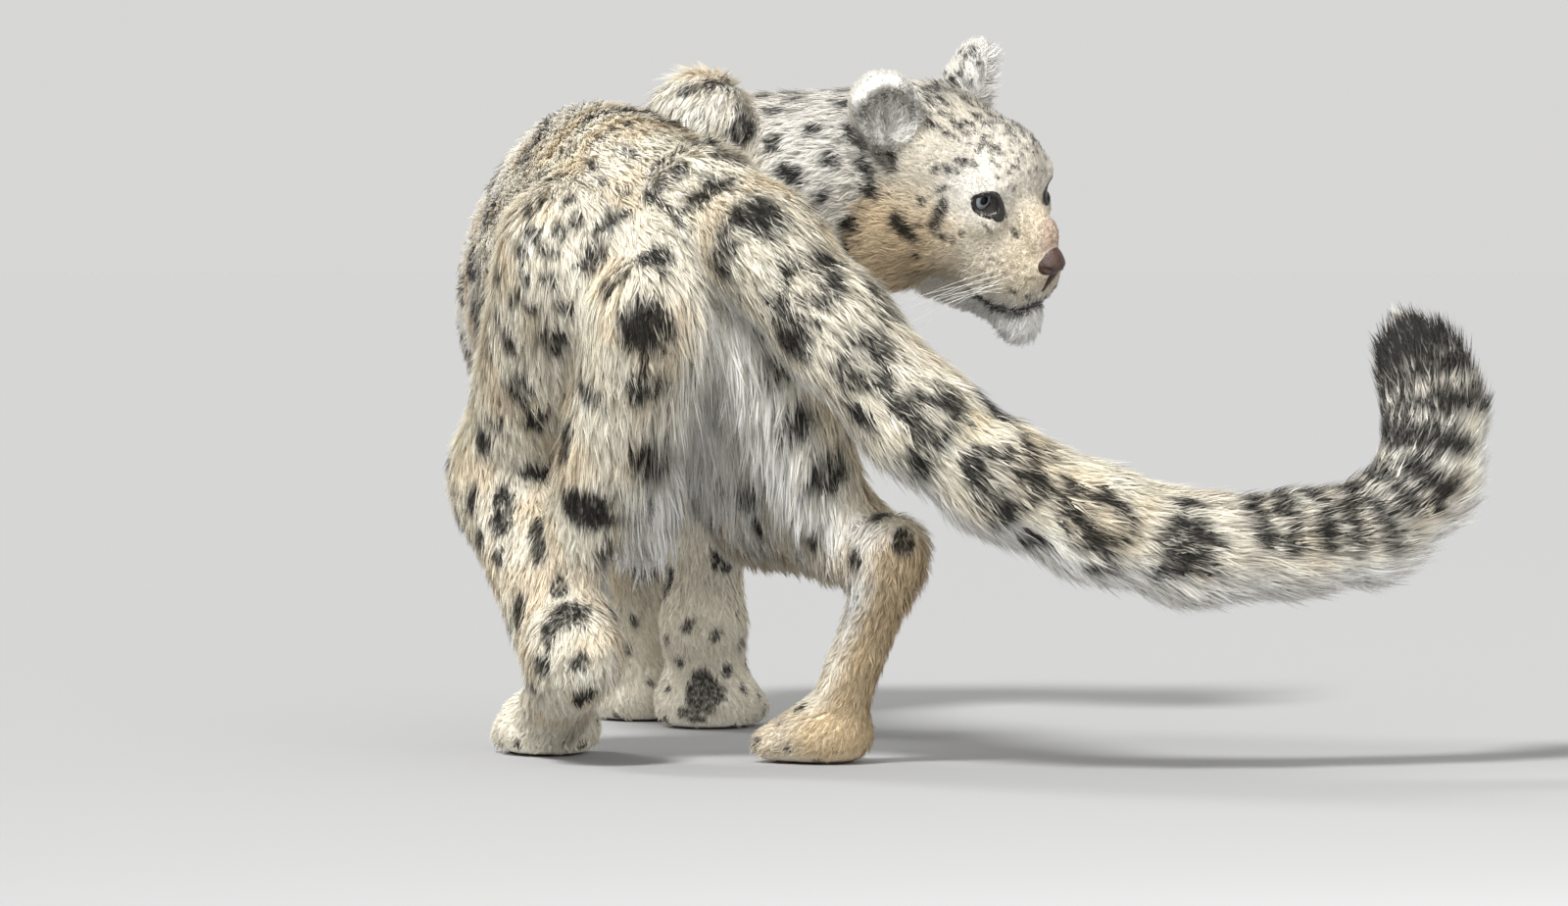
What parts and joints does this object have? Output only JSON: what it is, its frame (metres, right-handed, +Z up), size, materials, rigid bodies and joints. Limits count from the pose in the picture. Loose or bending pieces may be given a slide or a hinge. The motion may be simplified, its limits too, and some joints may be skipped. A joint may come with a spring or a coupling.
{
  "type": "snow leopard",
  "caption": "Life-size standing snow leopard in its winter coat, seen from behind, looking back over its shoulder, with a long thick tail that curls up at the tip.",
  "frame": {"origin": "centre of the bounding box's footprint, at the level of the floor", "axes": "+Z up, +X to the viewer's right as the picture shows the animal, +Y away from the viewer"},
  "size_m": [0.877, 0.9344, 0.5886],
  "materials": {
    "cream_coat": "long winter fur, cream to buff with black rosettes, white below",
    "grey_coat": "long winter fur, smoke grey with dark spots and open rosettes",
    "eye": "wet glossy eye, pale grey-blue iris and round pupil",
    "nose_leather": "damp, finely pebbled dark pink-brown skin"
  },
  "bodies": {
    "root": {"eye_right": "eye", "eye_left": "eye", "ear_right": "grey_coat", "ear_left": "grey_coat", "nose": "nose_leather", "head": "cream_coat", "neck": "cream_coat", "tail_5": "grey_coat", "tail_4": "cream_coat", "tail_3": "cream_coat", "tail_2": "cream_coat", "tail_1": "cream_coat", "hind_foot_left": "cream_coat", "hind_shank_left": "cream_coat", "hind_thigh_left": "cream_coat", "hind_foot_right": "cream_coat", "hind_shank_right": "cream_coat", "hind_thigh_right": "cream_coat", "fore_paw_left": "cream_coat", "fore_arm_left": "cream_coat", "upper_arm_left": "cream_coat", "fore_paw_right": "cream_coat", "fore_arm_right": "cream_coat", "upper_arm_right": "cream_coat", "chest": "grey_coat", "ribs": "grey_coat", "belly": "grey_coat", "pelvis": "cream_coat"}
  },
  "joints": []
}
